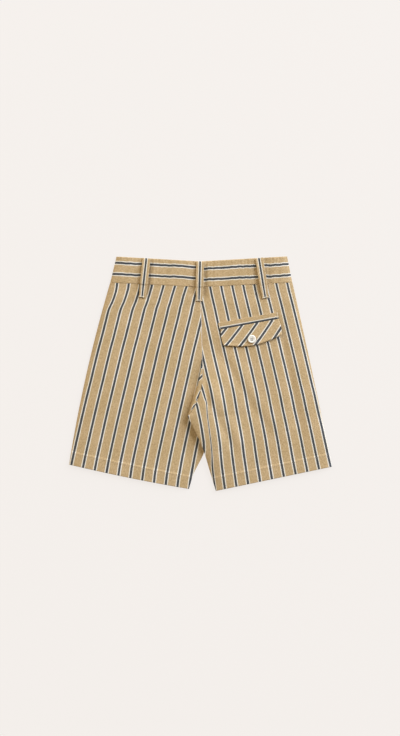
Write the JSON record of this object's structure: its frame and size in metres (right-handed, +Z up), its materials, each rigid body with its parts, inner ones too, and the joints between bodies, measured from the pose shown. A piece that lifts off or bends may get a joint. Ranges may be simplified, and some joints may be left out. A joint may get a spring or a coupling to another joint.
{
  "type": "bermuda shorts",
  "caption": "Striped cotton bermuda shorts laid flat, back facing up, with belt loops and a buttoned flap pocket",
  "frame": {"origin": "middle of the laid-out garment's outline, on the surface it lies on", "axes": "+X to the garment's right as seen from behind, +Y from the hems to the waist, +Z up from the surface, out of the back"},
  "size_m": [0.394, 0.3516, 0.012],
  "materials": {
    "front_left": "striped cotton drill",
    "front_right": "striped cotton drill",
    "back_left": "striped cotton drill",
    "back_right": "striped cotton drill",
    "waistband_left": "striped cotton drill, stripes along the band",
    "waistband_right": "striped cotton drill, stripes along the band",
    "belt_loop_left": "striped cotton drill",
    "belt_loop_centre": "striped cotton drill",
    "belt_loop_right": "striped cotton drill",
    "pocket_welt": "striped cotton drill",
    "pocket_flap": "striped cotton drill, cut on the bias",
    "pocket_button": "off-white, softly glossy",
    "waist_button": "off-white, softly glossy"
  },
  "bodies": {
    "root": {"front_left": "front_left", "front_right": "front_right", "back_left": "back_left", "back_right": "back_right", "waistband_left": "waistband_left", "waistband_right": "waistband_right", "belt_loop_left": "belt_loop_left", "belt_loop_centre": "belt_loop_centre", "belt_loop_right": "belt_loop_right", "pocket_welt": "pocket_welt", "pocket_flap": "pocket_flap", "pocket_button": "pocket_button", "waist_button": "waist_button"}
  },
  "joints": []
}
